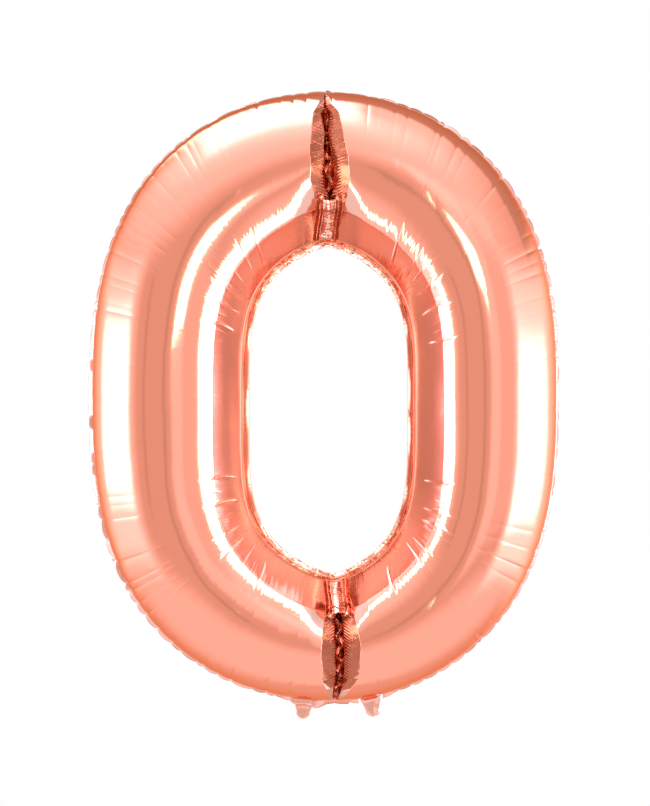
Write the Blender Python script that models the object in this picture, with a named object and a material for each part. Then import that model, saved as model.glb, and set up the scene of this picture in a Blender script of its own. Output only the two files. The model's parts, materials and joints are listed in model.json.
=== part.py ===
"""Foil number balloon, the figure 0.

Two metallised film panels are welded round an outer and an inner rim and along two creases.
A filling neck with a two-lip film valve and a tether tab stand out of the lower rim.
Metres, +Z up, front towards -Y. The origin is the middle of the tether tab's root line.
Film is drawn thicker than it is, so that each piece is a solid: FILM and WELD_FILM say how much.
"""

import math

import bmesh
import bpy
import numpy as np
from mathutils import Matrix, Vector

# Driving sizes of the inflated body, in metres
OUTER_WIDTH = 0.647
OUTER_HEIGHT = 0.848
HOLE_WIDTH = 0.234
HOLE_HEIGHT = 0.470
HOLE_RIGHT = 0.0054
HOLE_DROP = 0.019
TUBE_DEPTH = 0.190

# Exponents of the two outlines: 2 and 2 would be an ellipse
OUTER_POWERS = (2.0, 2.65)
HOLE_POWERS = (1.3, 4.2)
# The tube is this share shallower at the creases than at the sides
CREASE_SLIM = 0.08

# Welded creases at the top and the bottom
CREASE_TOP_X = 0.004
CREASE_BOTTOM_X = 0.014
CREASE_REACH = 0.030
CREASE_WELD = 0.008
# Share of the tube, from its outer rim, that the top weld leaves open for the gas
TOP_PASSAGE = 0.14

# Rims
RIM_WIDTH = 0.007
RIM_WAVE = 0.0025
RIM_WAVES = 54
WAVE_STEPS = 4

# Tether tab
TAB_X = -0.028
TAB_ROOT = 0.025
TAB_LENGTH = 0.020
TAB_TIP_RADIUS = 0.0085

# Filling neck and valve
NECK_X = 0.064
NECK_ROOT = 0.027
NECK_LENGTH = 0.028
NECK_TIP_RADIUS = 0.008
VALVE_WIDTH = 0.022
VALVE_LENGTH = 0.080
VALVE_TIP_RADIUS = 0.006

# Film and clearances
FILM = 0.0004
WELD_FILM = 0.0008
GAP = 0.0003
HINGE_GAP = WELD_FILM / 2 + GAP
# Half the slot that the valve passes through, and the film's height over a crease weld
VALVE_SLOT = GAP / 2 + FILM + GAP
CREASE_FLOOR = FILM + GAP

# Fineness of the meshes
STATIONS = 84
ROWS = 10
POLE_CROWDING = 0.62
TABLE_POINTS = 4001
TIP_STEPS = 6


def quarter_line(width, height, powers):
    """A quarter outline from its side to its pole, as share of its length, x and z.

    Points satisfy (x / half width)^p + (z / half height)^q = 1.
    """
    share = np.linspace(0.0, 1.0, TABLE_POINTS)
    angle = math.pi / 2 * (3 * share**2 - 2 * share**3)
    x = width / 2 * np.abs(np.cos(angle)) ** (2 / powers[0])
    z = height / 2 * np.abs(np.sin(angle)) ** (2 / powers[1])
    length = np.concatenate([[0.0], np.cumsum(np.hypot(np.diff(x), np.diff(z)))])
    return length / length[-1], x, z


OUTER_QUARTER = quarter_line(OUTER_WIDTH, OUTER_HEIGHT, OUTER_POWERS)
HOLE_QUARTER = quarter_line(HOLE_WIDTH, HOLE_HEIGHT, HOLE_POWERS)


def quarters(station):
    """Share from side to pole, sign of x and sign of z: a lap of 4 starts at the right and runs up."""
    lap = np.mod(station, 4.0)
    quarter = np.floor(lap).astype(int)
    within = lap - quarter
    share = np.where(quarter % 2 == 0, within, 1.0 - within)
    right = np.where((quarter == 0) | (quarter == 3), 1.0, -1.0)
    up = np.where(quarter < 2, 1.0, -1.0)
    return share, right, up


def crease_x(up):
    return np.where(up > 0, CREASE_TOP_X, CREASE_BOTTOM_X)


def outer_line(station):
    """The outer weld line: x and z at each station."""
    share, right, up = quarters(station)
    x = right * np.interp(share, OUTER_QUARTER[0], OUTER_QUARTER[1])
    z = up * np.interp(share, OUTER_QUARTER[0], OUTER_QUARTER[2])
    return np.stack([x + crease_x(up) * share**8, z], axis=-1)


def hole_line(station):
    """The inner weld line, matched so that rulings to the outer line leave it nearly square."""
    share, right, up = quarters(station)
    share = share + 0.09 * np.sin(2 * np.pi * share) + 0.03 * np.sin(np.pi * share)
    x = right * np.interp(share, HOLE_QUARTER[0], HOLE_QUARTER[1])
    z = up * np.interp(share, HOLE_QUARTER[0], HOLE_QUARTER[2])
    x = x + HOLE_RIGHT + (crease_x(up) - HOLE_RIGHT) * share**6
    return np.stack([x, z - HOLE_DROP], axis=-1)


def ruling(station):
    """Unit direction in the plane of the welds, from the hole outwards."""
    across = outer_line(station) - hole_line(station)
    return across / np.linalg.norm(across, axis=-1, keepdims=True)


def smooth_step(value, start, end):
    share = np.clip((value - start) / (end - start), 0.0, 1.0)
    return share * share * (3 - 2 * share)


def body_stations():
    """Stations of one lap, crowded towards the two creases."""
    even = np.arange(STATIONS) * 4.0 / STATIONS
    return even + POLE_CROWDING / np.pi * np.sin(np.pi * even)


def station_below(x):
    """The station of the lower outer line that lies at this x."""
    table = np.linspace(2.0, 4.0, TABLE_POINTS)
    return float(np.interp(x, outer_line(table)[:, 0], table))


def tube_points(station, turn):
    """Front half of the tube: a half ellipse over each ruling, drawn in to the welds at the creases.

    turn runs from 0 at the outer line to pi at the hole line.
    """
    outer = outer_line(station)[:, None, :]
    hole = hole_line(station)[:, None, :]
    share, _, up = quarters(station)
    plan = (outer + hole) / 2 + (outer - hole) / 2 * np.cos(turn)[None, :, None]
    beside = np.abs(plan[..., 0] - crease_x(up)[:, None])
    climb = np.clip((beside - CREASE_WELD / 2) / CREASE_REACH, 0.0, 1.0)
    lips = np.sqrt(1 - (1 - climb) ** 2)
    down_tube = turn[None, :] / np.pi
    welded = np.where(up[:, None] > 0, smooth_step(down_tube, TOP_PASSAGE / 2, TOP_PASSAGE), 1.0)
    pinch = 1 - welded * (1 - lips)
    bulge = TUBE_DEPTH / 2 * (1 - CREASE_SLIM * share[:, None] ** 4) * np.sin(turn)[None, :]
    reach = VALVE_WIDTH / 2 + 2 * GAP + OUTER_WIDTH / STATIONS
    at_valve = (up[:, None] < 0) & (np.abs(outer[..., 0] - NECK_X) < reach)
    edge = np.where(at_valve, VALVE_SLOT, GAP / 2)
    near_rim = np.clip(np.sin(turn) / 0.1, 0.0, 1.0)[None, :]
    floor = edge + (np.maximum(edge, CREASE_FLOOR) - edge) * near_rim
    return np.stack([plan[..., 0], -floor - bulge * pinch, plan[..., 1]], axis=-1)


def local_frame(station, out):
    """Matrix of a rim piece: origin this far out of the outer line, x along the rim, z inwards."""
    step = 1e-3
    ends = outer_line(np.array([station - step, station + step]))
    along = Vector((ends[1, 0] - ends[0, 0], 0.0, ends[1, 1] - ends[0, 1])).normalized()
    inwards = along.cross(Vector((0.0, 1.0, 0.0)))
    middle = outer_line(np.array([station]))[0]
    place = Vector((middle[0], 0.0, middle[1])) - inwards * out
    turned = Matrix((along, Vector((0.0, 1.0, 0.0)), inwards)).transposed().to_4x4()
    return Matrix.Translation(place) @ turned


TAB_FRAME = local_frame(station_below(TAB_X), FILM / 2 + GAP + RIM_WIDTH + HINGE_GAP)
NECK_FRAME = local_frame(station_below(NECK_X), FILM / 2 + HINGE_GAP)
VALVE_FRAME = local_frame(station_below(NECK_X), 0.0)
TO_ORIGIN = Matrix.Translation(-TAB_FRAME.translation)


def clear_scene():
    for obj in list(bpy.data.objects):
        bpy.data.objects.remove(obj, do_unlink=True)


def finish(name, colour, roughness, metallic):
    """A Principled material."""
    made = bpy.data.materials.new(name)
    made.use_nodes = True
    shader = made.node_tree.nodes["Principled BSDF"]
    shader.inputs["Base Color"].default_value = (*colour, 1.0)
    shader.inputs["Roughness"].default_value = roughness
    shader.inputs["Metallic"].default_value = metallic
    return made


def film_piece(name, mesh_builder, thickness, frame, colour, roughness, metallic):
    """An object made of a drawn sheet, thickened by half on each side with Solidify."""
    mesh = bpy.data.meshes.new(name)
    drawn = bmesh.new()
    mesh_builder(drawn)
    bmesh.ops.recalc_face_normals(drawn, faces=drawn.faces)
    drawn.to_mesh(mesh)
    drawn.free()
    mesh.materials.append(finish(name + "_finish", colour, roughness, metallic))
    obj = bpy.data.objects.new(name, mesh)
    obj.matrix_world = TO_ORIGIN @ frame
    bpy.context.scene.collection.objects.link(obj)
    solid = obj.modifiers.new("film", "SOLIDIFY")
    solid.thickness = thickness
    solid.offset = 0.0
    return obj


def grid_faces(drawn, points, closed):
    """Quads over rows of points; closed joins the last column to the first."""
    columns, rows = points.shape[:2]
    verts = [[drawn.verts.new(point) for point in column] for column in points]
    for i in range(columns if closed else columns - 1):
        after = verts[(i + 1) % columns]
        for j in range(rows - 1):
            drawn.faces.new((verts[i][j], after[j], after[j + 1], verts[i][j + 1]))


def rim_strip(line, away, wave):
    """Points of a rim: from the tube out along the rulings, its free edge waving front to back."""
    near = line + away * (FILM / 2 + GAP)
    far = line + away * (FILM / 2 + GAP + RIM_WIDTH)
    flat = np.zeros(len(line))
    inner_edge = np.stack([near[:, 0], flat, near[:, 1]], axis=-1)
    outer_edge = np.stack([far[:, 0], wave, far[:, 1]], axis=-1)
    return np.stack([inner_edge, outer_edge], axis=1)


def panel(side):
    """A builder for the front (-1) or rear (+1) panel."""

    def build(drawn):
        points = tube_points(body_stations(), np.linspace(0.0, np.pi, ROWS + 1))
        points[..., 1] *= -side
        grid_faces(drawn, points, closed=True)

    return build


def outer_rim(drawn):
    """The outer rim runs round from one side of the neck to the other."""
    half_gap = NECK_ROOT / 2 + GAP
    start = station_below(NECK_X + half_gap) - 4.0
    end = station_below(NECK_X - half_gap)
    station = np.linspace(start, end, RIM_WAVES * WAVE_STEPS + 1)
    line = outer_line(station)
    low = np.minimum(np.abs(line[:, 0] - TAB_X) / TAB_ROOT, np.abs(line[:, 0] - NECK_X) / NECK_ROOT)
    calm = np.where(line[:, 1] < 0, smooth_step(low, 0.8, 1.6), 1.0)
    phase = np.arange(len(station)) * 2 * np.pi / WAVE_STEPS
    grid_faces(drawn, rim_strip(line, ruling(station), RIM_WAVE * calm * np.sin(phase)), closed=False)


def inner_rim(drawn):
    station = body_stations()
    line = hole_line(station)
    grid_faces(drawn, rim_strip(line, -ruling(station), np.zeros(len(station))), closed=True)


def crease_strip(pole, passage):
    """A builder for the weld strip of a crease: flat, between the two panels."""

    def build(drawn):
        outer = outer_line(np.array([pole]))[0]
        hole = hole_line(np.array([pole]))[0]
        down = np.linspace(max(passage, 0.06) + 0.02, 0.94, 7)
        height = outer[1] + (hole[1] - outer[1]) * (1 - np.cos(np.pi * down)) / 2
        half = CREASE_WELD / 2 - GAP
        sides = [np.stack([np.full(7, outer[0] + s * half), np.zeros(7), height], axis=-1) for s in (-1, 1)]
        grid_faces(drawn, np.stack(sides, axis=0), closed=False)

    return build


def flap(root, length, tip_radius, reach):
    """A builder for a flat tongue from its root line, with a rounded tip: reach is -1 out or 1 in."""

    def build(drawn):
        quarter = np.linspace(0.0, np.pi / 2, TIP_STEPS + 1)
        half_tip = max(tip_radius, root / 2 - length / 8)
        x = half_tip - tip_radius + tip_radius * np.cos(quarter)
        z = reach * (length - tip_radius + tip_radius * np.sin(quarter))
        right = [(root / 2, 0.0)] + list(zip(x, z))
        left = [(-a, b) for a, b in reversed(right)]
        loop = right + (left if half_tip > tip_radius else left[1:])
        drawn.faces.new([drawn.verts.new((a, 0.0, b)) for a, b in loop])

    return build


def build_balloon():
    clear_scene()
    foil = (0.94, 0.36, 0.24)
    sealed = (0.90, 0.33, 0.21)
    clear_film = (0.86, 0.88, 0.90)
    whole = Matrix.Identity(4)
    film_piece("front_panel", panel(-1), FILM, whole, foil, 0.12, 1.0)
    film_piece("rear_panel", panel(1), FILM, whole, foil, 0.12, 1.0)
    film_piece("outer_rim", outer_rim, WELD_FILM, whole, sealed, 0.2, 1.0)
    film_piece("inner_rim", inner_rim, WELD_FILM, whole, sealed, 0.2, 1.0)
    film_piece("top_crease_weld", crease_strip(1.0, TOP_PASSAGE), FILM, whole, sealed, 0.25, 1.0)
    film_piece("bottom_crease_weld", crease_strip(3.0, 0.0), FILM, whole, sealed, 0.25, 1.0)
    tab = flap(TAB_ROOT, TAB_LENGTH, TAB_TIP_RADIUS, -1)
    film_piece("tether_tab", tab, WELD_FILM, TAB_FRAME, sealed, 0.2, 1.0)
    ply = flap(NECK_ROOT, NECK_LENGTH, NECK_TIP_RADIUS, -1)
    lip = flap(VALVE_WIDTH, VALVE_LENGTH, VALVE_TIP_RADIUS, 1)
    for name, side in (("front", -1), ("rear", 1)):
        beside = Matrix.Translation((0.0, side * (GAP + FILM) / 2, 0.0))
        film_piece(f"neck_{name}_ply", ply, FILM, NECK_FRAME @ beside, sealed, 0.2, 1.0)
        film_piece(f"valve_{name}_lip", lip, FILM, VALVE_FRAME @ beside, clear_film, 0.2, 0.0)


build_balloon()
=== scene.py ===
"""Looks of the foil number balloon: mirror-foil panels, welded rims, creases, neck, tab and stage.

Every surface is worked out as whole arrays from the frame's boxes and joints and the sizes below.
Metres, +Z up, front towards -Y.
"""

import json
import math
from types import SimpleNamespace

import bpy
import numpy as np
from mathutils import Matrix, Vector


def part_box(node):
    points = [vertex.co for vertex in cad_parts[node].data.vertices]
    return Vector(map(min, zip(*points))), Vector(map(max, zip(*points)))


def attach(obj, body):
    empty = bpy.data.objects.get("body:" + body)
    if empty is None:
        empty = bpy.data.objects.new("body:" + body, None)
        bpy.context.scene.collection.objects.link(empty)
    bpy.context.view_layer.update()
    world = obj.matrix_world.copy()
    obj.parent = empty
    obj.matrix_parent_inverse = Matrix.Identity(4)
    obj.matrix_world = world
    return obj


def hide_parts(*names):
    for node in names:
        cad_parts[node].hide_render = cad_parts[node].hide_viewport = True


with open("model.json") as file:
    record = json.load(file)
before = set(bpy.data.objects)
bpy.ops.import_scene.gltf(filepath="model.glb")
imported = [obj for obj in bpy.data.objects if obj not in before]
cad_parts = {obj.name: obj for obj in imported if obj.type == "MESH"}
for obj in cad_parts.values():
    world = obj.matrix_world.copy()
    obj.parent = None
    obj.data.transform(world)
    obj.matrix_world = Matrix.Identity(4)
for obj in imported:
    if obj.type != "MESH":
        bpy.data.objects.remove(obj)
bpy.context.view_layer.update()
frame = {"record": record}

bl_info = {
    "name": "Foil Number Balloon",
    "version": (1, 0, 0),
    "blender": (4, 5, 0),
    "location": "View3D > Sidebar > Balloon",
    "description": "Builds an inflated foil figure 0 from its frame",
    "category": "Add Mesh",
}

# Exponents of the two outlines, as in the solids
OUTER_POWERS = (2.0, 2.65)
HOLE_POWERS = (1.3, 4.2)
TABLE_POINTS = 4001
# Clearance between the solids' film and their rims
RIM_CLEARANCE = 0.0005
FILM = 0.0004
FRONT = np.array([0.0, -1.0, 0.0])
# Width of the neck at its root and at its tip, its length and how far its plies cup and stand apart
NECK_WIDTHS = (0.0290, 0.0205)
NECK_LENGTH = 0.028
NECK_CURL = 0.0034
PLY_SHIFT = 0.00035
# The tab's width at its tip, how much shorter than its solid it hangs and how far it cups
TAB_TIP_WIDTH = 0.0190
TAB_SHORTER = 0.0012
TAB_CURL = 0.0010
VALVE_WIDTHS = (0.022, 0.012)
VALVE_LENGTH = 0.080
# The puckers, scallops and drawn-in outline share one seed, so that they meet
PUCKER_SEED = 11
# Where the rim is cut between the tab and the neck: its drop right of the tab, its nick and peak at the creases
RIM_STUB_DROP = 0.0055
RIM_NICK = 0.0035
RIM_PEAK = 0.011
RIM_POINT_WIDTH = 0.004
# Where that stretch starts from the tab and ends from the neck, where it drops from the tab, and how far from
# either the rim lies still
STUB_START, STUB_END, STUB_DROP_START = (-0.020, -0.011), (-0.032, -0.0285), (0.010, 0.014)
FLAP_CALM = (0.014, 0.034)
# Free film left between the rim's ends and the neck
RIM_END_GAP = 0.002
# Share of the rim's clearance at which the welded film starts
RIM_START = 0.4
# Where a crease's slit ends; then the flat strip by the hole: where its edges fall, and the grooves beside it
SLIT_END = (0.70, 0.76)
STRIP_EDGE = (0.008, 0.012)
GROOVE_PLACE, GROOVE_HALF_WIDTH, GROOVE_DEPTH = 0.0125, 0.0045, 0.012
# Reach of a crease's left lip as share of the right one's, and slant of the pleats at the top and at the bottom
LEFT_LIP = 0.90
PLEAT_SLANTS = (-0.2, 0.5)
# The zigzag ridge down a crease's slit
ZIGZAG_SWING, ZIGZAG_TURNS, RIDGE_WIDTH = 0.0028, 42.0, 0.0018
# Share of a pucker's depth by which the weld line is drawn in; its start and fall-off round the tube
PUCKER_DRAW, PUCKER_START, PUCKER_FADE = 0.6, 0.05, 0.20
# Where a saddle rises, as 1 - cos(turn), and the most of its depth that a panel may lose to a crease
SADDLE_EDGE, MOST_RELIEF = (1.05, 1.70), 0.8
# Share of the way round the tube over which the finest ripples rise and fall, and the gathers by the rim end
RIPPLE_RISE, RIPPLE_FALL, GATHER_END = (0.52, 0.70), (0.86, 0.95), (0.04, 0.17)
# Long swells of the panels, and how far their film lies outside the solids' half circle
SWELL_LENGTH, SWELL_HEIGHT, FILM_LIFT = 0.42, 0.0010, 0.0006
# The wall by the hole as share of the half width: its round foot and its blend into the half circle
WALL_FOOT, WALL_BLEND = 0.035, 0.02
# The rim round the hole: height of its crumples by the creases and its turn to the front elsewhere
INNER_CRUMPLE, INNER_TURN = 0.0045, 0.80
# The dent across a tongue: its place below the root, its width and its depth as share of the curl
DENT_PLACE, DENT_WIDTH, DENT_SHARE = 0.0035, 0.0010, 0.6
SEAL_RIB_HEIGHT = 0.0005
# Distance from a crease over which the folds and swells of the panels come in
CALM_BESIDE = (0.010, 0.034)
# Width of the wall's paler colour from the hole, a painted reflection, and of the hem's paler colour, a painted
# highlight, as share of the half width
WALL_REFLECTION_EDGE = (0.030, 0.052)
HEM_HIGHLIGHT_EDGE = (0.001, 0.008)
# Folds round the hole by kind: number in a quarter, reach along it, where they start and end round the tube,
# depth as share of the fold depth and width
FOLD_KINDS = (
    (6, (0.22, 0.74), (1.84, 2.04), (2.45, 2.75), (0.42, 0.70), (0.0013, 0.0018)),
    (26, (0.22, 0.78), (1.92, 2.10), (2.28, 2.50), (0.04, 0.11), (0.0009, 0.0012)),
)
# Along a crease from the rim (0) to the hole (1): how far the slit leans right, its half width and
# its lips' share of their full reach
TOP_LEAN = (0.0, 0.15, 0.50, 0.70, 0.84, 1.0), (-0.003, -0.0034, 0.001, 0.0036, 0.001, -0.003)
TOP_SLIT = (
    (0.0, 0.14, 0.18, 0.24, 0.31, 0.42, 0.58, 0.66, 0.71),
    (0.0, 0.001, 0.006, 0.004, 0.002, 0.004, 0.008, 0.007, 0.001),
)
TOP_REACH = (0.0, 0.11, 0.18, 0.30, 0.45, 0.62, 0.75, 1.0), (0.06, 0.30, 0.66, 0.80, 0.95, 1.0, 0.75, 0.55)
BOTTOM_LEAN = (0.0, 0.05, 0.30, 0.75, 1.0), (0.0, 0.002, 0.0075, 0.005, 0.002)
BOTTOM_SLIT = (0.0, 0.10, 0.55, 0.70, 0.76), (0.003, 0.005, 0.0065, 0.005, 0.001)
BOTTOM_REACH = (0.0, 0.06, 0.14, 0.22, 0.50, 0.72, 1.0), (0.20, 0.40, 0.60, 0.95, 1.0, 0.75, 0.55)
# Stations of the outer rim (0 right, 1 top, 2 left, 3 bottom) and how far it is folded back there, in degrees
RIM_FOLD = (0.0, 0.10, 0.75, 0.90, 1.4, 1.75, 1.92, 2.5, 2.7, 3.3, 4.0), (48, 36, 40, 68, 60, 52, 18, 15, 50, 50, 48)
# The two kinds of patches, as indices into each panel's steps below
LIMB, CREASE = 0, 1
# The panels: side, seed and steps along and across each kind of patch
PANELS = (
    ("front_panel", -1.0, 3, ((800, 120), (250, 340))),
    ("rear_panel", 1.0, 41, ((600, 70), (150, 240))),
)
# Relief of the foil's finish: its mask, whether it follows the film, its grain, detail and height
FOIL_RELIEF = (
    ("bend", True, (120.0, 9.0, 1.0), 1.0, 0.25),
    ("edge", True, (210.0, 16.0, 1.0), 1.0, 0.8),
    ("weld", False, (130.0, 130.0, 130.0), 2.0, 0.7),
)
# Light strips: place right of, in front of and above the body's middle, width, height and turn in degrees
LIGHT_STRIPS = (
    ("right_hole_strip", (0.15, 0.31, 0.0), 0.20, 0.62, 90.0),
    ("left_hole_strip", (-0.12, 0.30, 0.0), 0.07, 0.62, -90.0),
    ("left_limb_strip", (-0.03, 0.99, 0.17), 0.92, 0.15, 90.0),
    ("right_limb_strip", (0.32, 0.88, 0.28), 0.50, 0.18, -64.5),
)
# The camera stands this far right of the body's middle
CAMERA_RIGHT = 0.0007


def number_setting(name, text, value, **kind):
    """A property that holds a number."""
    return bpy.props.FloatProperty(name=name, description=text, default=value, **kind)


def length_setting(name, text, value):
    """A property that holds a length."""
    return number_setting(name, text, value, unit="LENGTH")


def colour_setting(name, text, value, **kind):
    """A property that holds a colour."""
    return bpy.props.FloatVectorProperty(name=name, description=text, default=value, subtype="COLOR", **kind)


class BalloonSizes(bpy.types.PropertyGroup):
    """Sizes of what the frame's boxes don't give."""

    crease_top_x: length_setting("Top crease", "Top crease right of the middle", 0.004)
    crease_bottom_x: length_setting("Bottom crease", "Bottom crease right of the middle", 0.014)
    crease_reach: length_setting("Crease reach", "Width of each lip of a crease", 0.028)
    lip_slope: number_setting("Lip slope", "How steeply the lips of a crease fall to its slit", 1.25)
    pleat_pitch: length_setting("Pleat pitch", "Distance of the pleats on the crease lips", 0.0040)
    pleat_height: length_setting("Pleat height", "Height of the pleats on the crease lips", 0.00055)
    wall_width: length_setting("Wall width", "Width of the straight wall by the hole", 0.042)
    wall_slope: number_setting("Wall slope", "Fall of that wall for its width", 1.02)
    saddle: number_setting("Saddle", "Share of depth lost where a crease meets the hole", 0.28, subtype="FACTOR")
    saddle_reach: length_setting("Saddle reach", "How far the saddle spreads beside a crease", 0.026)
    slit_depth: length_setting("Slit depth", "Depth of a crease's slit below its lips", 0.014)
    crease_crumple: length_setting("Crease crumple", "Height of the crumples in a crease", 0.0011)
    crease_patch: number_setting("Crease patch", "Share of a quarter that is finely meshed by a crease", 0.11)
    crease_slim: number_setting("Crease slimness", "Share of depth lost at the creases", 0.08, subtype="FACTOR")
    rim_width: length_setting("Rim width", "Width of the welded rims", 0.007)
    rim_wave: length_setting("Rim wave", "Height of the outer rim's waves", 0.0028)
    pucker_pitch: length_setting("Pucker pitch", "Mean distance of the puckers", 0.021)
    pucker_depth: length_setting("Pucker depth", "Depth of a pucker at the outer rim", 0.0022)
    fold_depth: length_setting("Fold depth", "Depth of the long folds at the inner bends", 0.0013)
    film_thickness: length_setting("Film thickness", "Thickness drawn for welded film", 0.0003)


class BalloonLooks(bpy.types.PropertyGroup):
    """Colours and finishes."""

    foil_colour: colour_setting("Foil", "Colour of the mirror foil", (0.82, 0.278, 0.180))
    weld_colour: colour_setting("Weld", "Colour of welded foil", (0.78, 0.36, 0.27))
    # Paler than the foil: painted reflection, standing in for the lighter tone the wall by the hole shows where it
    # mirrors the opposite wall
    wall_colour: colour_setting("Wall", "Colour of the foil on the wall by the hole", (0.80, 0.41, 0.31))
    # Darker than the foil in the creases, their lips and saddles: painted shade, not a colour of crushed foil
    crease_colour: colour_setting("Crease", "Colour of crushed foil in the creases", (0.62, 0.33, 0.245))
    # Paler than the foil and the welds: painted highlight on the foil by the inner weld and on the rim round the hole
    hem_colour: colour_setting("Hem", "Colour of the foil along the inner weld", (0.83, 0.50, 0.40))
    edge_colour: colour_setting("Edge", "Tint of the foil seen almost edge on", (0.88, 0.46, 0.34))
    valve_colour: colour_setting("Valve", "Colour of the valve film", (0.86, 0.88, 0.90))
    ripple_height: length_setting("Ripple height", "Height of the finest ripples", 0.0006)
    foil_roughness: number_setting("Foil roughness", "Roughness of the mirror foil", 0.10, subtype="FACTOR")
    weld_roughness: number_setting("Weld roughness", "Roughness of welded foil", 0.16, subtype="FACTOR")


class BalloonStage(bpy.types.PropertyGroup):
    """Camera and studio."""

    camera_distance: length_setting("Camera distance", "From the weld plane", 2.4)
    view_height: length_setting("View height", "Height seen at the weld plane", 1.126)
    view_drop: length_setting("View drop", "Camera below the middle of the body", 0.0092)
    floor_drop: length_setting("Floor drop", "Floor below the tether tab", 0.55)
    side_light: number_setting("Side light", "Brightness of the light banks left and right", 4.2)
    top_light: number_setting("Top light", "Brightness of the overhead light bank", 4.2)
    strip_light: number_setting("Strip light", "Brightness of the light strips in front", 4.5)
    wall_light: number_setting("Wall light", "Brightness of the studio's walls", 1.0)
    bank_colour: colour_setting("Bank colour", "Colour of the light banks", (0.9, 1.0, 1.36), max=4.0)


def balloon_form(sizes):
    """Sizes of the body from the frame's boxes: middle, outline widths and heights, depth."""
    panel_low, panel_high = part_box("front_panel")
    rim_low, rim_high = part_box("inner_rim")
    middle = (panel_low + panel_high) / 2
    hole_middle = (rim_low + rim_high) / 2
    return SimpleNamespace(
        middle=np.array([middle.x, middle.z]),
        outer=quarter_line(panel_high.x - panel_low.x - FILM, panel_high.z - panel_low.z - FILM, OUTER_POWERS),
        hole=quarter_line(
            rim_high.x - rim_low.x + 2 * RIM_CLEARANCE, rim_high.z - rim_low.z + 2 * RIM_CLEARANCE, HOLE_POWERS
        ),
        hole_shift=np.array([hole_middle.x - middle.x, hole_middle.z - middle.z]),
        half_depth=-panel_low.y - FILM,
        sizes=sizes,
    )


def quarter_line(width, height, powers):
    """A quarter outline, as share of its length, x and z: (x / half width)^p + (z / half height)^q = 1."""
    share = np.linspace(0.0, 1.0, TABLE_POINTS)
    angle = math.pi / 2 * (3 * share**2 - 2 * share**3)
    x = width / 2 * np.abs(np.cos(angle)) ** (2 / powers[0])
    z = height / 2 * np.abs(np.sin(angle)) ** (2 / powers[1])
    length = np.concatenate([[0.0], np.cumsum(np.hypot(np.diff(x), np.diff(z)))])
    return length / length[-1], x, z


def quarters(station):
    """Share from side to pole, sign of x and sign of z: a lap of 4 starts at the right and runs up."""
    lap = np.mod(station, 4.0)
    quarter = np.floor(lap).astype(int)
    within = lap - quarter
    share = np.where(quarter % 2 == 0, within, 1.0 - within)
    right = np.where((quarter == 0) | (quarter == 3), 1.0, -1.0)
    up = np.where(quarter < 2, 1.0, -1.0)
    return share, right, up


def crease_x(form, up):
    """How far right of the middle the crease of this half lies."""
    return np.where(up > 0, form.sizes.crease_top_x, form.sizes.crease_bottom_x)


def outer_line(form, station):
    """The outer weld line about the body's middle."""
    share, right, up = quarters(station)
    x = right * np.interp(share, form.outer[0], form.outer[1])
    z = up * np.interp(share, form.outer[0], form.outer[2])
    return np.stack([x + crease_x(form, up) * share**8, z], axis=-1)


def hole_line(form, station):
    """The inner weld line, matched to the outer one so that rulings leave it nearly square."""
    share, right, up = quarters(station)
    share = share + 0.09 * np.sin(2 * np.pi * share) + 0.03 * np.sin(np.pi * share)
    x = right * np.interp(share, form.hole[0], form.hole[1])
    z = up * np.interp(share, form.hole[0], form.hole[2])
    x = x + form.hole_shift[0] + (crease_x(form, up) - form.hole_shift[0]) * share**6
    return np.stack([x, z + form.hole_shift[1]], axis=-1)


def body_stations(count, crowding):
    """Stations of one lap, crowded towards the two creases."""
    even = np.arange(count) * 4.0 / count
    return even + crowding / np.pi * np.sin(np.pi * even)


def smooth_step(value, start, end):
    """3 s^2 - 2 s^3 of the share s from start to end."""
    share = np.clip((value - start) / (end - start), 0.0, 1.0)
    return share * share * (3 - 2 * share)


def triangle_wave(phase):
    """A wave from -1 to 1 with straight flanks and the period of a sine."""
    return 2 / np.pi * np.arcsin(np.sin(phase))


def crumple(x, z, scale, seed):
    """Folded-film relief from -1 to 1: triangle waves in several directions added up."""
    dice = np.random.default_rng(seed)
    total = np.zeros(np.broadcast(x, z).shape)
    for size in (1.0, 1.7, 2.9, 4.1):
        angle, phase = dice.uniform(0, np.pi), dice.uniform(0, 2 * np.pi)
        across = x * np.cos(angle) + z * np.sin(angle)
        total = total + triangle_wave(2 * np.pi * across * size / scale + phase) / size
    return total / 2.0


def lap_length(form, station):
    """Length along the outer weld line at each station, and the length of the lap."""
    fine = np.linspace(0.0, 4.0, TABLE_POINTS)
    line = outer_line(form, fine)
    length = np.concatenate([[0.0], np.cumsum(np.hypot(*np.diff(line, axis=0).T))])
    return np.interp(np.mod(station, 4.0), fine, length), length[-1]


def pucker_places(form, seed):
    """Where the outer rim is drawn in: place along the rim, depth and width of each pucker."""
    dice = np.random.default_rng(seed)
    _, lap = lap_length(form, np.zeros(1))
    count = int(lap / form.sizes.pucker_pitch)
    place = (np.arange(count) + dice.uniform(-0.36, 0.36, count)) * lap / count
    depth = dice.uniform(0.15, 1.0, count) ** 1.5
    width = dice.uniform(0.0022, 0.0046, count)
    return np.mod(place, lap), depth, width


def pucker_field(form, station, seed):
    """Sum of sharp dips exp(-distance / width) along the outer rim."""
    along, lap = lap_length(form, station)
    place, depth, width = pucker_places(form, seed)
    apart = np.abs(along[:, None] - place[None, :])
    apart = np.minimum(apart, lap - apart)
    share, _, _ = quarters(station)
    strength = 0.35 + 0.65 * smooth_step(share, 0.15, 0.5)
    return strength * (depth * np.exp(-apart / width)).sum(axis=1)


def drawn_outer(form, station):
    """The outer weld line with the puckers drawn in along the rulings, and those rulings."""
    outer, hole = outer_line(form, station), hole_line(form, station)
    away = (outer - hole) / np.linalg.norm(outer - hole, axis=-1, keepdims=True)
    draw = form.sizes.pucker_depth * PUCKER_DRAW * pucker_field(form, station, PUCKER_SEED)
    return outer - away * draw[:, None], away


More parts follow.
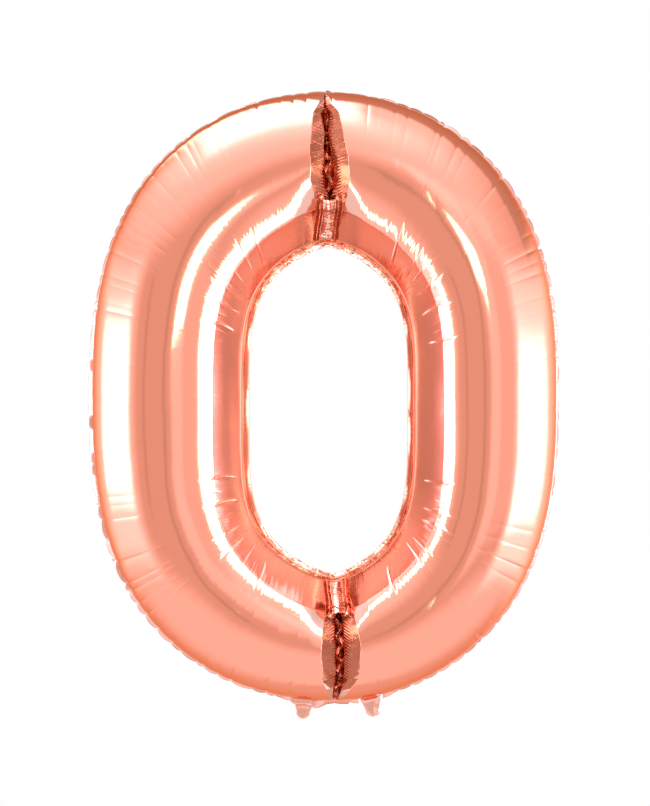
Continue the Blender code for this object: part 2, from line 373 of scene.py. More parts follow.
def crease_relief(form, beside, inwards, up, seed):
    """Depth of a crease below the round tube, and where its lips and its crumpled weld lie.

    beside is the distance right of the crease and inwards runs from 0 at the rim to 1 at the hole. Two lips
    slope in from their reach; a slit opens between them, and by the hole a flat strip lies between two grooves.
    """
    sizes = form.sizes
    top = up > 0
    lean = np.where(top, np.interp(inwards, *TOP_LEAN), np.interp(inwards, *BOTTOM_LEAN))
    slit = np.where(top, np.interp(inwards, *TOP_SLIT), np.interp(inwards, *BOTTOM_SLIT))
    beside = beside - lean + 0.0012 * crumple(inwards * 0.2, beside * 0.15, 0.03, seed)
    share = np.where(top, np.interp(inwards, *TOP_REACH), np.interp(inwards, *BOTTOM_REACH))
    reach = sizes.crease_reach * share * np.where(beside < 0, LEFT_LIP, 1.0)
    apart = np.abs(beside)
    sloped = np.clip(1 - apart / reach, 0.0, 1.0)
    by_hole = smooth_step(inwards, *SLIT_END)
    opened = np.clip(1 - (apart / np.maximum(slit, 1e-6)) ** 2, 0.0, 1.0) * (1 - by_hole)
    groove = np.clip(1 - np.abs(apart - GROOVE_PLACE) / GROOVE_HALF_WIDTH, 0.0, 1.0) * by_hole
    strip = (1 - smooth_step(apart, *STRIP_EDGE)) * by_hole
    lips = sizes.lip_slope * reach * sloped * (1 - 0.75 * by_hole)
    zigzag = beside - ZIGZAG_SWING * triangle_wave(inwards * ZIGZAG_TURNS)
    ridge = np.exp(-((zigzag / RIDGE_WIDTH) ** 2)) * opened
    depth = lips + sizes.slit_depth * (opened - 0.5 * ridge) + GROOVE_DEPTH * groove
    within = np.maximum(np.maximum(opened, strip), 0.12 * sloped)
    return depth, within, sloped * (1 - opened) * (1 - 0.7 * by_hole)


def folds(points, station, turn, seed):
    """Depth of the folds across the inner bends: long sharp valleys with finer ones between them.

    Each valley follows a ruling with a slight bow, falls off as exp(-distance / width) and fades at its ends.
    """
    dice = np.random.default_rng(seed)
    spread = np.linalg.norm(np.gradient(points, axis=0), axis=-1) / np.gradient(station)[:, None]
    total = np.zeros(spread.shape)
    for quarter in range(4):
        for count, reach, begins, ends, depths, widths in FOLD_KINDS:
            even = np.linspace(reach[0], reach[1], count)
            share = even + dice.uniform(-0.35, 0.35, count) * (reach[1] - reach[0]) / count
            for value in share:
                place = quarter + (value if quarter % 2 == 0 else 1 - value)
                start, end = dice.uniform(*begins), dice.uniform(*ends)
                depth, width = dice.uniform(*depths), dice.uniform(*widths)
                bow = dice.uniform(-0.012, 0.012)
                from_place = np.mod(station - place + 2.0, 4.0) - 2.0
                near = np.where(np.abs(from_place) < 0.12)[0]
                inside = (turn - start) / (end - start)
                window = smooth_step(inside, 0.0, 0.35) * (1 - smooth_step(inside, 0.65, 1.0))
                apart = np.abs(from_place[near, None] - bow * (inside * (1 - inside) * 4)[None, :])
                total[near] += depth * window * np.exp(-apart * spread[near] / width)
    return total


def tube_profile(form, turn, wide):
    """Share of the depth across tubes of these half widths.

    A half circle, and by the hole a straight wall with a round foot.
    """
    from_hole = (1 + np.cos(turn))[None, :]
    bend = form.sizes.wall_width / wide[:, None]
    at_bend = np.sqrt(2 * bend - bend**2)
    wall = at_bend - form.sizes.wall_slope * wide[:, None] / form.half_depth * (bend - from_hole)
    foot = smooth_step(from_hole, 0.0, WALL_FOOT)
    half_circle = np.sin(turn)[None, :]
    wall = wall * foot + half_circle * (1 - foot)
    inside = 1 - smooth_step(from_hole, bend - WALL_BLEND, bend + WALL_BLEND)
    return half_circle + (wall - half_circle) * inside


def panel_points(form, station, turn, side, seed):
    """A foil panel: half an ellipse over each ruling, with the creases, folds and puckers let into it.

    turn runs from 0 at the outer weld line to pi at the hole. Returns points and masks for the finish, three of which
    place painted light on the foil's colour.
    """
    sizes = form.sizes
    outer, _ = drawn_outer(form, station)
    hole = hole_line(form, station)
    share, _, up = quarters(station)
    plan = (outer + hole)[:, None, :] / 2 + (outer - hole)[:, None, :] / 2 * np.cos(turn)[None, :, None]
    wide = np.linalg.norm(outer - hole, axis=-1) / 2
    round_share = tube_profile(form, turn, wide)
    depth = form.half_depth * (1 - sizes.crease_slim * share[:, None] ** 4) * round_share
    beside = plan[..., 0] - crease_x(form, up)[:, None]
    drawn_in = np.exp(-((beside / sizes.saddle_reach) ** 2)) * smooth_step(1 - np.cos(turn), *SADDLE_EDGE)[None, :]
    depth = depth * (1 - sizes.saddle * drawn_in)
    points = np.stack([plan[..., 0], side * depth, plan[..., 1]], axis=-1)
    normal = surface_normals(points, side)
    dip = sizes.fold_depth * folds(points, station, turn, seed)
    edge = np.exp(-turn / PUCKER_FADE) * smooth_step(turn, 0.0, PUCKER_START)
    dip = dip + sizes.pucker_depth * pucker_field(form, station, PUCKER_SEED)[:, None] * edge[None, :]
    inwards = np.broadcast_to((1 - np.cos(turn))[None, :] / 2, beside.shape)
    relief, within, lip = crease_relief(form, beside, inwards, up[:, None], seed + 5)
    calm = smooth_step(np.abs(beside), *CALM_BESIDE)
    swell = crumple(plan[..., 0], plan[..., 1], SWELL_LENGTH, seed + 1) * round_share**2
    points = points - normal * (dip * calm - SWELL_HEIGHT * swell * calm)[..., None]
    rough = crumple(plan[..., 0], plan[..., 1] * 0.8, 0.024, seed + 2)
    relief = relief + sizes.crease_crumple * within * rough
    rib = plan[..., 1] + np.where(up[:, None] > 0, *PLEAT_SLANTS) * np.abs(beside)
    phase = 2 * np.pi * rib / sizes.pleat_pitch + 1.5 * crumple(plan[..., 0] * 2, plan[..., 1], 0.05, seed + 3)
    relief = relief + sizes.pleat_height * np.sin(phase) * lip
    relief = np.minimum(relief, MOST_RELIEF * depth)
    points[..., 1] += side * (FILM_LIFT * round_share - relief)
    hem = 1 - smooth_step(1 + np.cos(turn), *HEM_HIGHLIGHT_EDGE)
    down_tube = np.broadcast_to((turn / np.pi)[None, :], beside.shape)
    # The wall, crease and hem masks carry painted light into the foil's colour: a paler wall (painted reflection),
    # darker creases and saddles (painted shade) and a paler hem (painted highlight)
    masks = {
        "bend": smooth_step(down_tube, *RIPPLE_RISE) * (1 - smooth_step(down_tube, *RIPPLE_FALL)) * calm,
        "edge": 1 - smooth_step(down_tube, *GATHER_END),
        "weld": within * (1 - calm),
        "crease": np.clip(12 * lip + within + smooth_step(drawn_in, 0.01, 0.12), 0.0, 1.0),
        "wall": 1 - smooth_step(wide[:, None] * (1 + np.cos(turn))[None, :], *WALL_REFLECTION_EDGE),
        "hem": np.broadcast_to(hem[None, :], beside.shape),
    }
    return points, masks


def surface_normals(points, side):
    """Normals of a grid by central differences, facing the panel's side."""
    normal = np.cross(np.gradient(points, axis=0), np.gradient(points, axis=1))
    normal /= np.maximum(np.linalg.norm(normal, axis=-1, keepdims=True), 1e-12)
    return normal * np.sign((normal[..., 1] * side).sum())


def panel_patch(form, name, span, counts, side, seed):
    """One patch of a panel between two stations, with normals that run on past its ends."""
    step = (span[1] - span[0]) / counts[0]
    station = span[0] + step * np.arange(-1, counts[0] + 2)
    turn = np.linspace(0.0, np.pi, counts[1] + 1)
    points, masks = panel_points(form, station, turn, side, seed)
    normals = surface_normals(points, side)[1:-1]
    along, lap = lap_length(form, station[1:-1])
    along = along - lap * (station[1:-1] < 0)
    masks = {key: value[1:-1] for key, value in masks.items()}
    facing = np.array([0.0, side, 0.0])
    return grid_object(name, to_world(form, points[1:-1]), False, facing, masks, normals, along)


def scallops(form, station, seed):
    """The outer rim between puckers: how full each scallop is here, from 0 at a pucker to 1, and its own tilt."""
    along, lap = lap_length(form, station)
    place, _, _ = pucker_places(form, seed)
    place = np.sort(place)
    number = np.searchsorted(place, along) % len(place)
    begins = place[number - 1] - lap * (number == 0) * (along < place[0])
    ends = place[number] + lap * (number == 0) * (along >= place[0])
    share = np.clip((along - begins) / (ends - begins), 0.0, 1.0)
    tilt = np.random.default_rng(seed + 1).uniform(-1.0, 1.0, len(place))[number]
    return np.sqrt(np.maximum(np.sin(np.pi * share), 0.0)), tilt


def to_world(form, points):
    """Points about the body's middle moved to their place."""
    placed = points.copy()
    placed[..., 0] += form.middle[0]
    placed[..., 2] += form.middle[1]
    return placed


def grid_object(name, points, closed, facing, masks=None, normals=None, along=None):
    """A mesh object from a grid of points, wound so that its faces look towards facing on the whole.

    Its UV map holds metres along and across the grid; masks become point attributes.
    """
    columns, rows = points.shape[:2]
    index = np.arange(columns * rows).reshape(columns, rows)
    after = np.roll(index, -1, axis=0) if closed else index[1:]
    here = index if closed else index[:-1]
    quads = np.stack([here[:, :-1], after[:, :-1], after[:, 1:], here[:, 1:]], axis=-1).reshape(-1, 4)
    flat = points.reshape(-1, 3)
    first, second, last = flat[quads[:, 0]], flat[quads[:, 1]], flat[quads[:, 3]]
    if (np.cross(second - first, last - first) @ facing).sum() < 0:
        quads = quads[:, ::-1]
    mesh = bpy.data.meshes.new(name)
    mesh.from_pydata(flat, [], quads)
    mesh.polygons.foreach_set("use_smooth", np.ones(len(mesh.polygons), dtype=bool))
    if along is None:
        along = path_lengths(points.mean(axis=1))
    across = path_lengths(points.mean(axis=0) if not closed else points[0])
    uv = np.stack(np.broadcast_arrays(along[:, None], across[None, :]), axis=-1).reshape(-1, 2)
    corner = np.empty(len(mesh.loops), dtype=np.int32)
    mesh.loops.foreach_get("vertex_index", corner)
    mesh.uv_layers.new(name="film").data.foreach_set("uv", uv[corner].astype(np.float32).ravel())
    for mask, values in (masks or {}).items():
        layer = mesh.attributes.new(mask, "FLOAT", "POINT")
        layer.data.foreach_set("value", np.ascontiguousarray(values, dtype=np.float32).ravel())
    if normals is not None:
        mesh.normals_split_custom_set_from_vertices(normals.reshape(-1, 3).tolist())
    mesh.update()
    obj = bpy.data.objects.new(name, mesh)
    bpy.context.scene.collection.objects.link(obj)
    return obj


def path_lengths(points):
    """Length from the first point to each point of a path."""
    return np.concatenate([[0.0], np.cumsum(np.linalg.norm(np.diff(points, axis=0), axis=-1))])


def thicken(obj, thickness):
    """Gives a film its thickness, half to either side."""
    solid = obj.modifiers.new("film", "SOLIDIFY")
    solid.thickness = thickness
    solid.offset = 0.0


def put(obj, body, slot, *nodes):
    """Ties a piece to its body and hides its CAD nodes."""
    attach(obj, body)
    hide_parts(*nodes)


def film_piece(context, name, points, finish, body, slot, cad_node, closed=False):
    """A piece of welded or clear film, with its thickness, finish and place in the frame."""
    obj = grid_object(name, points, closed, FRONT)
    obj.data.materials.append(material(finish, context))
    thicken(obj, context.scene.balloon_sizes.film_thickness)
    put(obj, body, slot, cad_node)


def node(tree, kind, settings=None, **sockets):
    """Adds a shader node; a socket is given a value or another node's output."""
    made = tree.nodes.new(kind)
    for key, value in (settings or {}).items():
        setattr(made, key, value)
    for key, value in sockets.items():
        numbered = key[0] == "i" and key[1:].isdigit()
        socket = made.inputs[int(key[1:]) if numbered else key.replace("_", " ")]
        if isinstance(value, bpy.types.NodeSocket):
            tree.links.new(value, socket)
        else:
            socket.default_value = value
    return made


def math_node(tree, operation, first, second=0.5):
    """The output of a math node on two numbers or outputs."""
    return node(tree, "ShaderNodeMath", {"operation": operation}, i0=first, i1=second).outputs[0]


def sum_of(tree, values):
    """The sum of outputs and numbers, of which the first is an output."""
    total = values[0]
    for value in values[1:]:
        total = math_node(tree, "ADD", total, value)
    return total


def scaled(tree, strength, *factors):
    """A strength times any number of factors."""
    total = strength
    for factor in factors:
        total = math_node(tree, "MULTIPLY", factor, total)
    return total


def stretched_noise(tree, vector, scale, detail):
    """Noise over a vector that is scaled unevenly, so that its grain is drawn out."""
    mapped = node(tree, "ShaderNodeMapping", None, Vector=vector, Scale=scale)
    return node(tree, "ShaderNodeTexNoise", None, Vector=mapped.outputs[0], Scale=1.0, Detail=detail).outputs[0]


def plain_material(name, **sockets):
    """A material with these values on its shader's sockets; returns it, its tree and its shader."""
    made = bpy.data.materials.new(name)
    made.use_nodes = True
    shader = made.node_tree.nodes["Principled BSDF"]
    for socket, value in sockets.items():
        shader.inputs[socket.replace("_", " ")].default_value = value
    return made, made.node_tree, shader


def metal_shader(name, colour, looks):
    """A coloured metal; returns the material, its tree and its shader."""
    tint = (*looks.edge_colour, 1.0)
    return plain_material(name, Metallic=1.0, Base_Color=(*colour, 1.0), Specular_Tint=tint)


def foil_material(looks):
    """Mirror foil: metal with fine ripples across the bends, gathers by the rim and crush marks in the creases; its
    colour is paler on the wall and hem by the hole, as painted reflection and painted highlight, and darker in the
    creases as painted shade.
    """
    made, tree, shader = metal_shader("balloon_foil", looks.foil_colour, looks)
    film = node(tree, "ShaderNodeUVMap", {"uv_map": "film"}).outputs[0]
    place = node(tree, "ShaderNodeTexCoord").outputs["Object"]
    masks = {
        name: node(tree, "ShaderNodeAttribute", {"attribute_name": name}).outputs["Fac"]
        for name in ("bend", "edge", "weld", "wall", "crease", "hem")
    }
    # Painted light: the wall is mixed paler (painted reflection), the creases darker (painted shade) and the hem
    # paler (painted highlight)
    painted_light_zones = (("wall", looks.wall_colour), ("crease", looks.crease_colour), ("hem", looks.hem_colour))
    shade = (*looks.foil_colour, 1.0)
    for zone, colour in painted_light_zones:
        mixed = node(tree, "ShaderNodeMix", {"data_type": "RGBA"}, i0=masks[zone], i6=shade, i7=(*colour, 1.0))
        shade = mixed.outputs[2]
    tree.links.new(shade, shader.inputs["Base Color"])
    relief = []
    for mask, on_film, grain, detail, strength in FOIL_RELIEF:
        noise = stretched_noise(tree, film if on_film else place, grain, detail)
        relief.append(scaled(tree, strength, noise, masks[mask]))
    bump = node(tree, "ShaderNodeBump", None, Strength=1.0, Distance=looks.ripple_height, Height=sum_of(tree, relief))
    tree.links.new(bump.outputs[0], shader.inputs["Normal"])
    smear = stretched_noise(tree, place, (9.0, 9.0, 9.0), 3.0)
    low, high = looks.foil_roughness * 0.7, looks.foil_roughness * 1.4
    spread = node(tree, "ShaderNodeMapRange", None, Value=smear, i3=low, i4=high)
    tree.links.new(spread.outputs[0], shader.inputs["Roughness"])
    return made


def welded_foil(name, colour, looks):
    """Welded foil: the same metal, duller, with the fine cross ribs of the sealing bar."""
    made, tree, shader = metal_shader(name, colour, looks)
    shader.inputs["Roughness"].default_value = looks.weld_roughness
    film = node(tree, "ShaderNodeUVMap", {"uv_map": "film"}).outputs[0]
    ribs = stretched_noise(tree, film, (260.0, 50.0, 1.0), 2.0)
    bump = node(tree, "ShaderNodeBump", None, Strength=1.0, Distance=SEAL_RIB_HEIGHT, Height=ribs)
    tree.links.new(bump.outputs[0], shader.inputs["Normal"])
    return made


def valve_material(looks):
    """Clear valve film."""
    colour = (*looks.valve_colour, 1.0)
    return plain_material("balloon_valve", Base_Color=colour, Roughness=0.2, Transmission_Weight=0.6)[0]


# The hem is the rim round the hole, paler than the other welds as painted highlight; every other weld has the weld's
# finish
FINISHES = {
    "balloon_foil": foil_material,
    "balloon_weld": lambda looks: welded_foil("balloon_weld", looks.weld_colour, looks),
    "balloon_hem_highlight": lambda looks: welded_foil("balloon_hem_highlight", looks.hem_colour, looks),
    "balloon_valve": valve_material,
}


def material(name, context):
    """The material of this name, made at its first use."""
    return bpy.data.materials.get(name) or FINISHES[name](context.scene.balloon_looks)


class BALLOON_OT_panels(bpy.types.Operator):
    """Build the front and rear foil panels"""

    bl_idname = "balloon.panels"
    bl_label = "Foil panels"

    def execute(self, context):
        form = balloon_form(context.scene.balloon_sizes)
        foil = material("balloon_foil", context)
        half = form.sizes.crease_patch
        spans = (
            ("right_limb", (-1 + half, 1 - half), LIMB),
            ("top_crease", (1 - half, 1 + half), CREASE),
            ("left_limb", (1 + half, 3 - half), LIMB),
            ("bottom_crease", (3 - half, 3 + half), CREASE),
        )
        for panel, side, seed, counts in PANELS:
            for part, span, kind in spans:
                obj = panel_patch(form, panel + "_" + part, span, counts[kind], side, seed)
                obj.data.materials.append(foil)
                put(obj, "balloon", "mirror_foil", panel)
        return {"FINISHED"}


class BALLOON_OT_rims(bpy.types.Operator):
    """Build the welded outer and inner rims"""

    bl_idname = "balloon.rims"
    bl_label = "Rims"

    def execute(self, context):
        form = balloon_form(context.scene.balloon_sizes)
        across = np.linspace(0.0, 1.0, 6)
        rims = (
            ("outer_rim", outer_rim_points(form, across), "balloon_weld", False),
            ("inner_rim", inner_rim_points(form, across), "balloon_hem_highlight", True),
        )
        for name, points, finish, closed in rims:
            placed = to_world(form, points)
            film_piece(context, name + "_weld", placed, finish, "balloon", "sealed_foil", name, closed)
        return {"FINISHED"}


def below(form, x):
    """The station of the lower outer line that lies at this x about the middle."""
    table = np.linspace(2.0, 4.0, TABLE_POINTS)
    return float(np.interp(x, outer_line(form, table)[:, 0], table))


def joint(name):
    """A joint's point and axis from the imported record."""
    for each in frame["record"]["behaviour"]["joints"]:
        if each["name"] == name:
            return np.array(each["pos_m"]), np.array(each["axis"])
    raise ValueError("no joint named " + name)


def outer_rim_points(form, across):
    """The outer rim, from one side of the neck round to the other.

    It is folded back, its free edge waves front to back and peaks at the top crease, and it is cut straight and
    wider between the tab and the neck.
    """
    sizes = form.sizes
    neck_x = joint("neck_flap")[0][0] - form.middle[0]
    tab_x, cut = joint("tether_tab_flap")[0][[0, 2]] - form.middle
    half = NECK_WIDTHS[0] / 2 + RIM_END_GAP
    start, end = below(form, neck_x + half) - 4.0, below(form, neck_x - half)
    even = np.linspace(start, end, 1800)
    line, away = drawn_outer(form, even)
    low = line[:, 1] < 0
    beyond_tab = smooth_step(line[:, 0] - tab_x, *STUB_START)
    between = low * beyond_tab * (1 - smooth_step(line[:, 0] - neck_x, *STUB_END))
    cut = cut - RIM_STUB_DROP * smooth_step(line[:, 0] - tab_x, *STUB_DROP_START)
    nick = RIM_NICK * np.exp(-np.abs(line[:, 0] - sizes.crease_bottom_x) / RIM_POINT_WIDTH)
    near_flap = np.minimum(np.abs(line[:, 0] - tab_x), np.abs(line[:, 0] - neck_x))
    calm = np.where(low, smooth_step(near_flap, *FLAP_CALM), 1.0)
    peak = np.exp(-np.abs(line[:, 0] - sizes.crease_top_x) / RIM_POINT_WIDTH) * ~low
    full, tilt = scallops(form, even, PUCKER_SEED)
    full = full * calm + (1 - calm)
    width = sizes.rim_width * (0.35 + 0.6 * full) + RIM_PEAK * peak
    drop = (line[:, 1] - cut - nick) / np.maximum(-away[:, 1], 0.3) - RIM_CLEARANCE * RIM_START
    width = width + between * np.maximum(drop - width, 0.0)
    wave = sizes.rim_wave * tilt * full * calm
    back = np.radians(np.interp(np.mod(even, 4.0), *RIM_FOLD)) * calm
    wave = wave + np.sin(back) * width
    width = np.cos(back) * width
    reach = RIM_CLEARANCE * RIM_START + across[None, :] * width[:, None]
    plan = line[:, None, :] + away[:, None, :] * reach[..., None]
    depth = wave[:, None] * across[None, :] ** 1.3
    return np.stack([plan[..., 0], depth, plan[..., 1]], axis=-1)


def inner_rim_points(form, across):
    """The rim round the hole: turned to the front along the sides, crumpled where a crease meets it."""
    sizes = form.sizes
    station = body_stations(1200, 0.3)
    outer, hole = outer_line(form, station), hole_line(form, station)
    away = (hole - outer) / np.linalg.norm(hole - outer, axis=-1, keepdims=True)
    share, _, _ = quarters(station)
    reach = RIM_CLEARANCE * RIM_START + across[None, :] * sizes.rim_width
    plan = hole[:, None, :] + away[:, None, :] * reach[..., None]
    rough = smooth_step(share, 0.45, 0.85)[:, None]
    depth = across[None, :] * (
        INNER_CRUMPLE * rough * crumple(plan[..., 0], plan[..., 1], 0.030, 71)
        + 0.0006 * np.sin(station * 26.0)[:, None]
        - INNER_TURN * sizes.rim_width * (1 - rough)
    )
    return np.stack([plan[..., 0], depth, plan[..., 1]], axis=-1)


class BALLOON_OT_creases(bpy.types.Operator):
    """Build the welded strips between the panels at the two creases"""

    bl_idname = "balloon.creases"
    bl_label = "Crease welds"

    def execute(self, context):
        for name in ("top_crease_weld", "bottom_crease_weld"):
            low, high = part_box(name)
            x, z = np.linspace(low.x, high.x, 7), np.linspace(low.z, high.z, 120)
            wide, tall = np.meshgrid(x, z, indexing="ij")
            points = np.stack([wide, 0.0002 * crumple(wide, tall, 0.02, 5), tall], axis=-1)
            film_piece(context, name + "_strip", points, "balloon_weld", "balloon", "sealed_foil", name)
        return {"FINISHED"}


def tongue_points(root, axis, length, widths, curl, seed, steps=(25, 33)):
    """A film tongue hanging from a root line: its width falls from root to tip, which is round; curl cups it.

    Columns run across and rows from the root out, crowded towards the tip.
    """
    along = np.array(axis) / np.linalg.norm(axis)
    out = -np.cross(along, np.array([0.0, 1.0, 0.0]))
    side = np.linspace(-1.0, 1.0, steps[0])[:, None]
    down = np.sin(np.linspace(0.0, np.pi / 2, steps[1]))[None, :]
    radius = widths[1] / 2
    straight = widths[0] / 2 + (radius - widths[0] / 2) * smooth_step(down * length, 0.0, length - radius)
    past = np.clip((down * length - (length - radius)) / radius, 0.0, 0.9995)
    across = side * straight * np.sqrt(1 - past**2)
    bowed = curl * (side**2 - 0.4) * down
    bowed = bowed - DENT_SHARE * curl * np.exp(-(((down * length - DENT_PLACE) / DENT_WIDTH) ** 2)) * (1 - side**2)
    bowed = bowed + 0.25 * curl * crumple(across, down * length, 0.026, seed) * down
    hung = across[..., None] * along + (down * length * np.ones_like(side))[..., None] * out
    return root + hung + bowed[..., None] * np.array([0.0, 1.0, 0.0])


class BALLOON_OT_tab(bpy.types.Operator):
    """Build the tether tab"""

    bl_idname = "balloon.tab"
    bl_label = "Tether tab"

    def execute(self, context):
        root, axis = joint("tether_tab_flap")
        low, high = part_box("tether_tab")
        widths = (high.x - low.x, TAB_TIP_WIDTH)
        points = tongue_points(root, axis, high.z - low.z - TAB_SHORTER, widths, TAB_CURL, 21)
        film_piece(context, "tether_tab_film", points, "balloon_weld", "tab", "sealed_foil", "tether_tab")
        return {"FINISHED"}


class BALLOON_OT_neck(bpy.types.Operator):
    """Build the two plies of the filling neck"""

    bl_idname = "balloon.neck"
    bl_label = "Filling neck"

    def execute(self, context):
        root, axis = joint("neck_flap")
        plies = (("neck_front_ply", "neck_mouth", -1.0, 31), ("neck_rear_ply", "neck", 1.0, 37))
        for name, body, side, seed in plies:
            start = root + np.array([0.0, side * PLY_SHIFT, 0.0])
            points = tongue_points(start, axis, NECK_LENGTH, NECK_WIDTHS, NECK_CURL, seed)
            film_piece(context, name + "_film", points, "balloon_weld", body, "sealed_foil", name)
        return {"FINISHED"}


class BALLOON_OT_valve(bpy.types.Operator):
    """Build the two clear lips of the valve"""

    bl_idname = "balloon.valve"
    bl_label = "Valve lips"

    def execute(self, context):
        for body in ("front_lip", "rear_lip"):
            name = "valve_" + body
            root, axis = joint(body + "_opening")
            points = tongue_points(root, -axis, VALVE_LENGTH, VALVE_WIDTHS, 0.0, 51)
            film_piece(context, name + "_film", points, "balloon_valve", body, "clear_film", name)
        return {"FINISHED"}


def band(tree, angle, start, end, fade_in, fade_out):
    """1 where an angle lies from start to end, in degrees, fading smoothly to 0 on either side."""
    rise = smooth_range(tree, angle, start - fade_in, start)
    fall = smooth_range(tree, angle, end + fade_out, end)
    return math_node(tree, "MULTIPLY", rise, fall)


def smooth_range(tree, angle, low, high):
    """A smooth step over an angle, from 0 at low to 1 at high, in degrees."""
    return smooth_between(tree, angle, math.radians(low), math.radians(high))


def smooth_between(tree, value, low, high):
    """A smooth step over a number, from 0 at low to 1 at high."""
    ends = (low, high, 0.0, 1.0) if low < high else (high, low, 1.0, 0.0)
    sockets = {"i" + str(number): end for number, end in enumerate(ends, 1)}
    step = node(tree, "ShaderNodeMapRange", {"interpolation_type": "SMOOTHSTEP"}, Value=value, **sockets)
    return step.outputs[0]


def studio_world(stage):
    """White to the camera; to reflections, a studio of soft light banks left, right and overhead.

    azimuth is 0 towards the camera and grows to the right, pitch is 0 towards the camera and 90 degrees overhead.
    """
    world = bpy.data.worlds.new("studio")
    world.use_nodes = True
    tree = world.node_tree
    tree.nodes.clear()
    towards = node(tree, "ShaderNodeTexCoord").outputs["Generated"]
    split = node(tree, "ShaderNodeSeparateXYZ", None, Vector=towards)
    ahead = math_node(tree, "MULTIPLY", split.outputs[1], -1.0)
    azimuth = math_node(tree, "ARCTAN2", split.outputs[0], ahead)
    pitch = math_node(tree, "ARCTAN2", split.outputs[2], ahead)
    height = math_node(tree, "ARCSINE", split.outputs[2])
    across = split.outputs[0]
    left_of_middle = math_node(tree, "MINIMUM", across, 0.0)
    leaning = math_node(tree, "ADD", pitch, math_node(tree, "MULTIPLY", left_of_middle, math.radians(70.0)))
    in_front = smooth_range(tree, leaning, 112.0, 104.0)
    eye_level = band(tree, height, -8.0, 8.0, 4.0, 4.0)

    def lit(strength, *factors):
        return scaled(tree, strength, *factors)

    def sideways(*ends):
        return band(tree, azimuth, *ends)

    def level(*ends):
        return band(tree, height, *ends)

    def rising(low, high):
        return smooth_range(tree, height, low, high)

    overhead = (
        smooth_between(tree, across, -0.60, -0.42),
        smooth_between(tree, across, 0.22, 0.0),
        smooth_range(tree, pitch, 52.0, 88.0),
        in_front,
        rising(8.0, 30.0),
    )
    # Left and right banks, each with its halo, the overhead bank, the glow below and above, two narrow banks ahead
    banks = (
        lit(stage.side_light, sideways(-103.0, -62.0, 14.0, 13.0), level(-5.0, 1.0, 11.0, 12.0)),
        lit(1.2, sideways(-112.0, -62.0, 45.0, 24.0), level(-18.0, 12.0, 14.0, 12.0)),
        lit(stage.side_light, sideways(57.0, 98.0, 11.0, 24.0), level(-9.0, -2.0, 11.0, 12.0)),
        lit(1.4, sideways(56.0, 112.0, 16.0, 60.0), level(-22.0, 10.0, 14.0, 14.0)),
        lit(stage.top_light, *overhead),
        lit(0.10, rising(-12.0, -32.0)),
        lit(0.40, rising(-12.0, -32.0), sideways(-85.0, 85.0, 65.0, 50.0)),
        lit(0.15, rising(10.0, 30.0), in_front),
        lit(0.55, rising(10.0, 30.0), sideways(-110.0, 25.0, 50.0, 70.0), in_front),
        lit(0.75, rising(30.0, 68.0), in_front),
        lit(0.40, rising(30.0, 68.0), smooth_range(tree, azimuth, 40.0, -20.0), in_front),
        lit(0.60, sideways(10.0, 20.0, 5.0, 6.0), level(-6.0, 22.0, 8.0, 10.0)),
        lit(0.30, sideways(26.0, 44.0, 4.0, 6.0), level(-8.0, 22.0, 8.0, 10.0)),
    )
    # Two dark stripes at eye level and a dim wall behind, taken off the pale walls
    walls = (
        lit(-0.24, sideways(-3.0, -1.0, 1.5, 1.5), eye_level),
        lit(-0.20, sideways(-31.0, -29.0, 1.5, 1.5), eye_level),
        lit(-0.25, smooth_range(tree, leaning, 106.0, 116.0), rising(8.0, 30.0)),
        stage.wall_light,
    )
    bright = sum_of(tree, walls)
    grey = node(tree, "ShaderNodeCombineXYZ", None, X=bright, Y=bright, Z=bright).outputs[0]
    colour = tuple(stage.bank_colour)
    tint = node(tree, "ShaderNodeVectorMath", {"operation": "SCALE"}, i0=colour, Scale=sum_of(tree, banks)).outputs[0]
    seen = node(tree, "ShaderNodeVectorMath", {"operation": "ADD"}, i0=grey, i1=tint).outputs[0]
    plain = node(tree, "ShaderNodeBackground", None, Color=(1.0, 1.0, 1.0, 1.0), Strength=1.0)
    studio = node(tree, "ShaderNodeBackground", None, Color=seen, Strength=1.0)
    path = node(tree, "ShaderNodeLightPath")
    blend = node(
        tree, "ShaderNodeMixShader", None, i0=path.outputs["Is Glossy Ray"], i1=plain.outputs[0], i2=studio.outputs[0]
    )
    end = tree.nodes.new("ShaderNodeOutputWorld")
    tree.links.new(blend.outputs[0], end.inputs["Surface"])
    return world


def white_floor(height):
    """A wide plain floor."""
    far = 12.0
    mesh = bpy.data.meshes.new("floor")
    mesh.from_pydata([(-far, -far, 0), (far, -far, 0), (far, far, 0), (-far, far, 0)], [], [(0, 1, 2, 3)])
    floor = bpy.data.objects.new("floor", mesh)
    floor.location = (0.0, 0.0, height)
    white = (1.0, 1.0, 1.0, 1.0)
    pale, _, _ = plain_material("pale_floor", Base_Color=white, Roughness=1.0, Specular_IOR_Level=0.0)
    mesh.materials.append(pale)
    bpy.context.scene.collection.objects.link(floor)
    floor.visible_glossy = False


def strip_light(name, brightness, place, width, height, turn):
    """An upright light strip seen only in the foil; unturned it faces the body, and turn swings it to the left."""
    lamp = bpy.data.lights.new(name, "AREA")
    lamp.shape = "RECTANGLE"
    lamp.size, lamp.size_y = width, height
    lamp.energy = 4.0 * brightness * width * height
    strip = bpy.data.objects.new(name, lamp)
    strip.location = place
    strip.rotation_euler = (math.pi / 2, 0.0, math.radians(turn))
    strip.visible_camera = strip.visible_diffuse = False
    bpy.context.scene.collection.objects.link(strip)


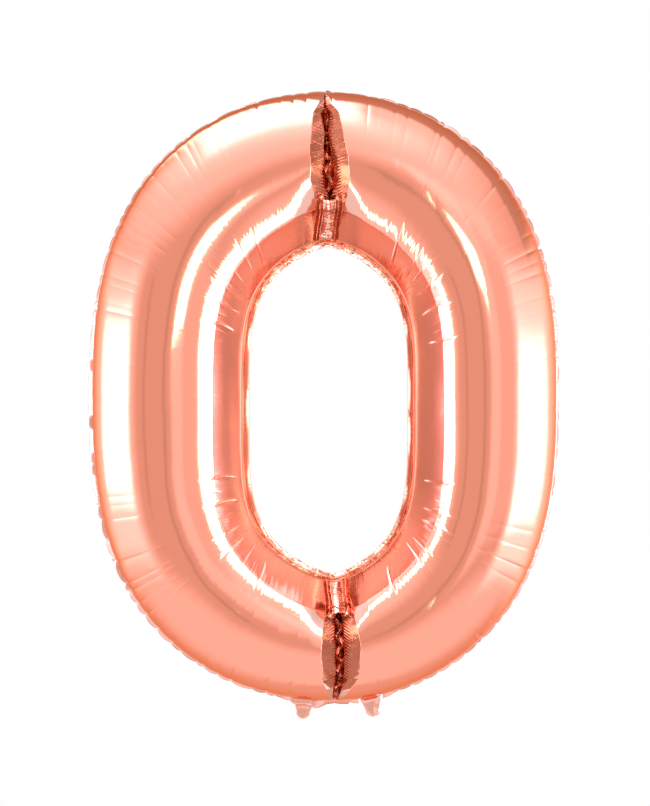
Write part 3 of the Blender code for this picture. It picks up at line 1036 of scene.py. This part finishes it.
class BALLOON_OT_stage(bpy.types.Operator):
    """Build the floor, the studio light and the camera"""

    bl_idname = "balloon.stage"
    bl_label = "Stage"

    def execute(self, context):
        scene = context.scene
        stage = scene.balloon_stage
        form = balloon_form(scene.balloon_sizes)
        scene.view_settings.view_transform = "Standard"
        scene.world = studio_world(stage)
        white_floor(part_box("tether_tab")[0].z - stage.floor_drop)
        middle_x, middle_z = form.middle
        for name, (right, front, up), width, height, turn in LIGHT_STRIPS:
            place = (middle_x + right, -front, middle_z + up)
            strip_light(name, stage.strip_light, place, width, height, turn)
        lens = bpy.data.cameras.new("camera")
        lens.lens = lens.sensor_width * stage.camera_distance / stage.view_height
        camera = bpy.data.objects.new("camera", lens)
        camera.location = (middle_x + CAMERA_RIGHT, -stage.camera_distance, middle_z - stage.view_drop)
        camera.rotation_euler = (math.pi / 2, 0.0, 0.0)
        scene.collection.objects.link(camera)
        scene.camera = camera
        return {"FINISHED"}


class BALLOON_PT_sidebar(bpy.types.Panel):
    """Sizes, looks and build steps"""

    bl_label = "Foil balloon"
    bl_idname = "BALLOON_PT_sidebar"
    bl_space_type = "VIEW_3D"
    bl_region_type = "UI"
    bl_category = "Balloon"

    def draw(self, context):
        scene = context.scene
        for group in (scene.balloon_sizes, scene.balloon_looks, scene.balloon_stage):
            box = self.layout.box()
            for name in group.bl_rna.properties.keys():
                if name not in ("rna_type", "name"):
                    box.prop(group, name)
        for step in STEPS:
            self.layout.operator(step.bl_idname)


STEPS = (
    BALLOON_OT_panels,
    BALLOON_OT_rims,
    BALLOON_OT_creases,
    BALLOON_OT_tab,
    BALLOON_OT_neck,
    BALLOON_OT_valve,
    BALLOON_OT_stage,
)
GROUPS = {"balloon_sizes": BalloonSizes, "balloon_looks": BalloonLooks, "balloon_stage": BalloonStage}
CLASSES = (*GROUPS.values(), *STEPS, BALLOON_PT_sidebar)


def register():
    for each in CLASSES:
        bpy.utils.register_class(each)
    for name, group in GROUPS.items():
        setattr(bpy.types.Scene, name, bpy.props.PointerProperty(type=group))


def unregister():
    for name in GROUPS:
        delattr(bpy.types.Scene, name)
    for each in reversed(CLASSES):
        bpy.utils.unregister_class(each)


def main():
    register()
    bpy.ops.balloon.panels()
    bpy.ops.balloon.rims()
    bpy.ops.balloon.creases()
    bpy.ops.balloon.tab()
    bpy.ops.balloon.neck()
    bpy.ops.balloon.valve()
    bpy.ops.balloon.stage()


if __name__ == "__main__":
    main()
